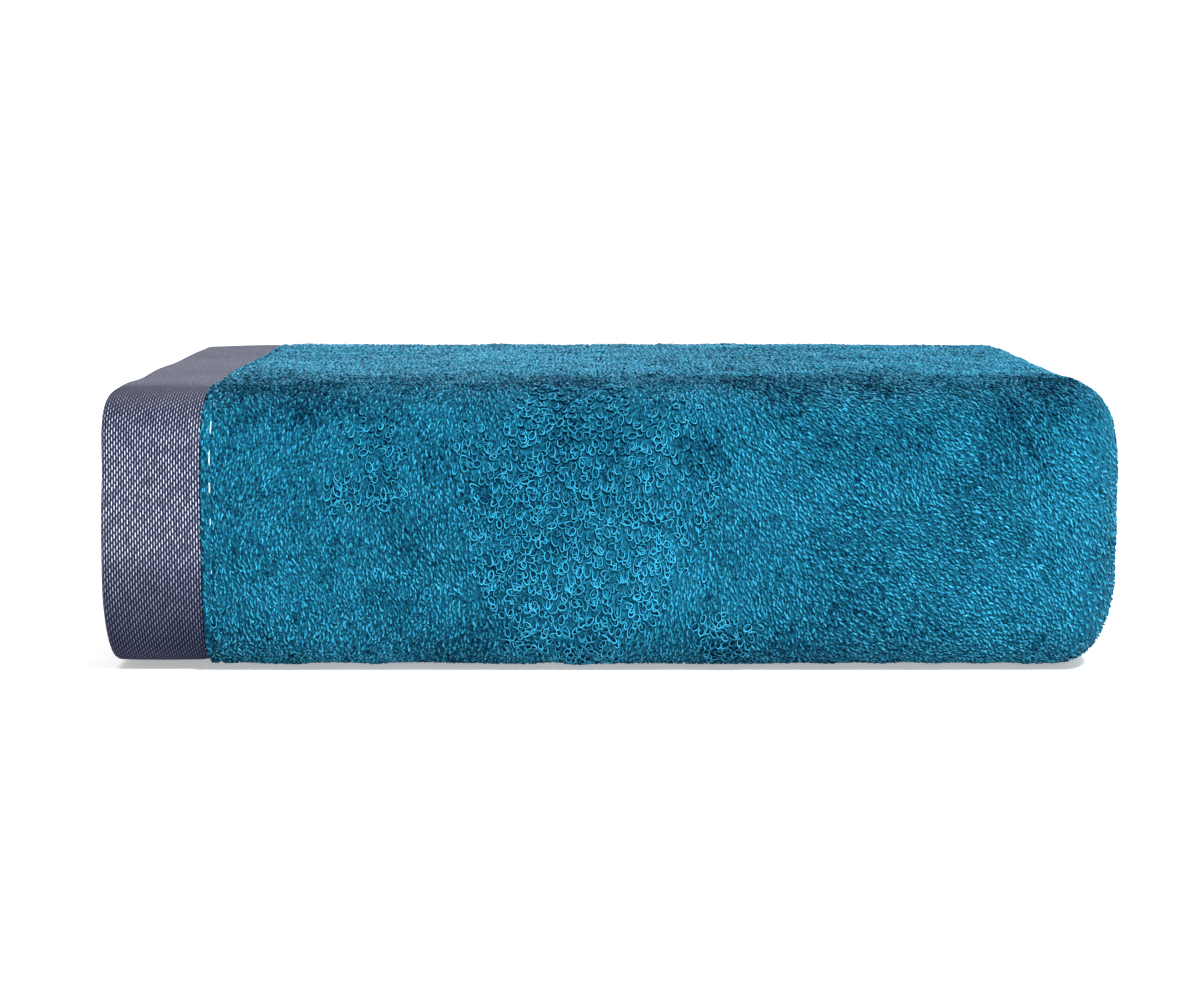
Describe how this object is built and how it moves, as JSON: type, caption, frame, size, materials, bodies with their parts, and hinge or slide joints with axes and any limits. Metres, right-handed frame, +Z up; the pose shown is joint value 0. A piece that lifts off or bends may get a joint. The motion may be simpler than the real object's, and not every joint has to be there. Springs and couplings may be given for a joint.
{
  "type": "folded bath towel",
  "caption": "Folded teal terry bath towel with a slate woven band along its end; the top third opens forward and lies flat.",
  "frame": {"origin": "centre of the folded pack's footprint, on the surface it lies on", "axes": "+X along the pack's longest side, away from the woven band; +Z up through its thickness; the rounded front fold faces -Y"},
  "size_m": [0.3562, 0.2438, 0.1],
  "materials": {
    "terry": "matte",
    "band": "satin",
    "thread": "satin",
    "hem_thread": "satin",
    "label": "satin"
  },
  "bodies": {
    "base": {"towel_cloth_base": "terry", "end_band_base": "band", "inner_band_base": "band", "end_band_stitching_base": "thread", "inner_band_stitching_base": "thread", "middle_hem_stitching": "hem_thread"},
    "front": {"towel_cloth_front": "terry", "end_band_front": "band", "inner_band_front": "band", "end_band_stitching_front": "thread", "inner_band_stitching_front": "thread"},
    "flap": {"towel_cloth_flap": "terry", "end_band_flap": "band", "inner_band_flap": "band", "end_band_stitching_flap": "thread", "inner_band_stitching_flap": "thread", "flap_hem_stitching": "hem_thread", "care_label": "label", "care_label_stitching": "hem_thread"}
  },
  "joints": [
    {"name": "front_unfold", "type": "hinge", "parent": "base", "child": "front", "pos_m": [0, -0.11149, 0.0104], "axis": [1, 0, 0], "range_deg": [0, 90]},
    {"name": "flap_unfold", "type": "hinge", "parent": "front", "child": "flap", "pos_m": [0, -0.11149, 0.0896], "axis": [1, 0, 0], "range_deg": [0, 90]}
  ],
  "couplings": [
    {"joint": "flap_unfold", "follows": "front_unfold", "ratio": 1}
  ]
}
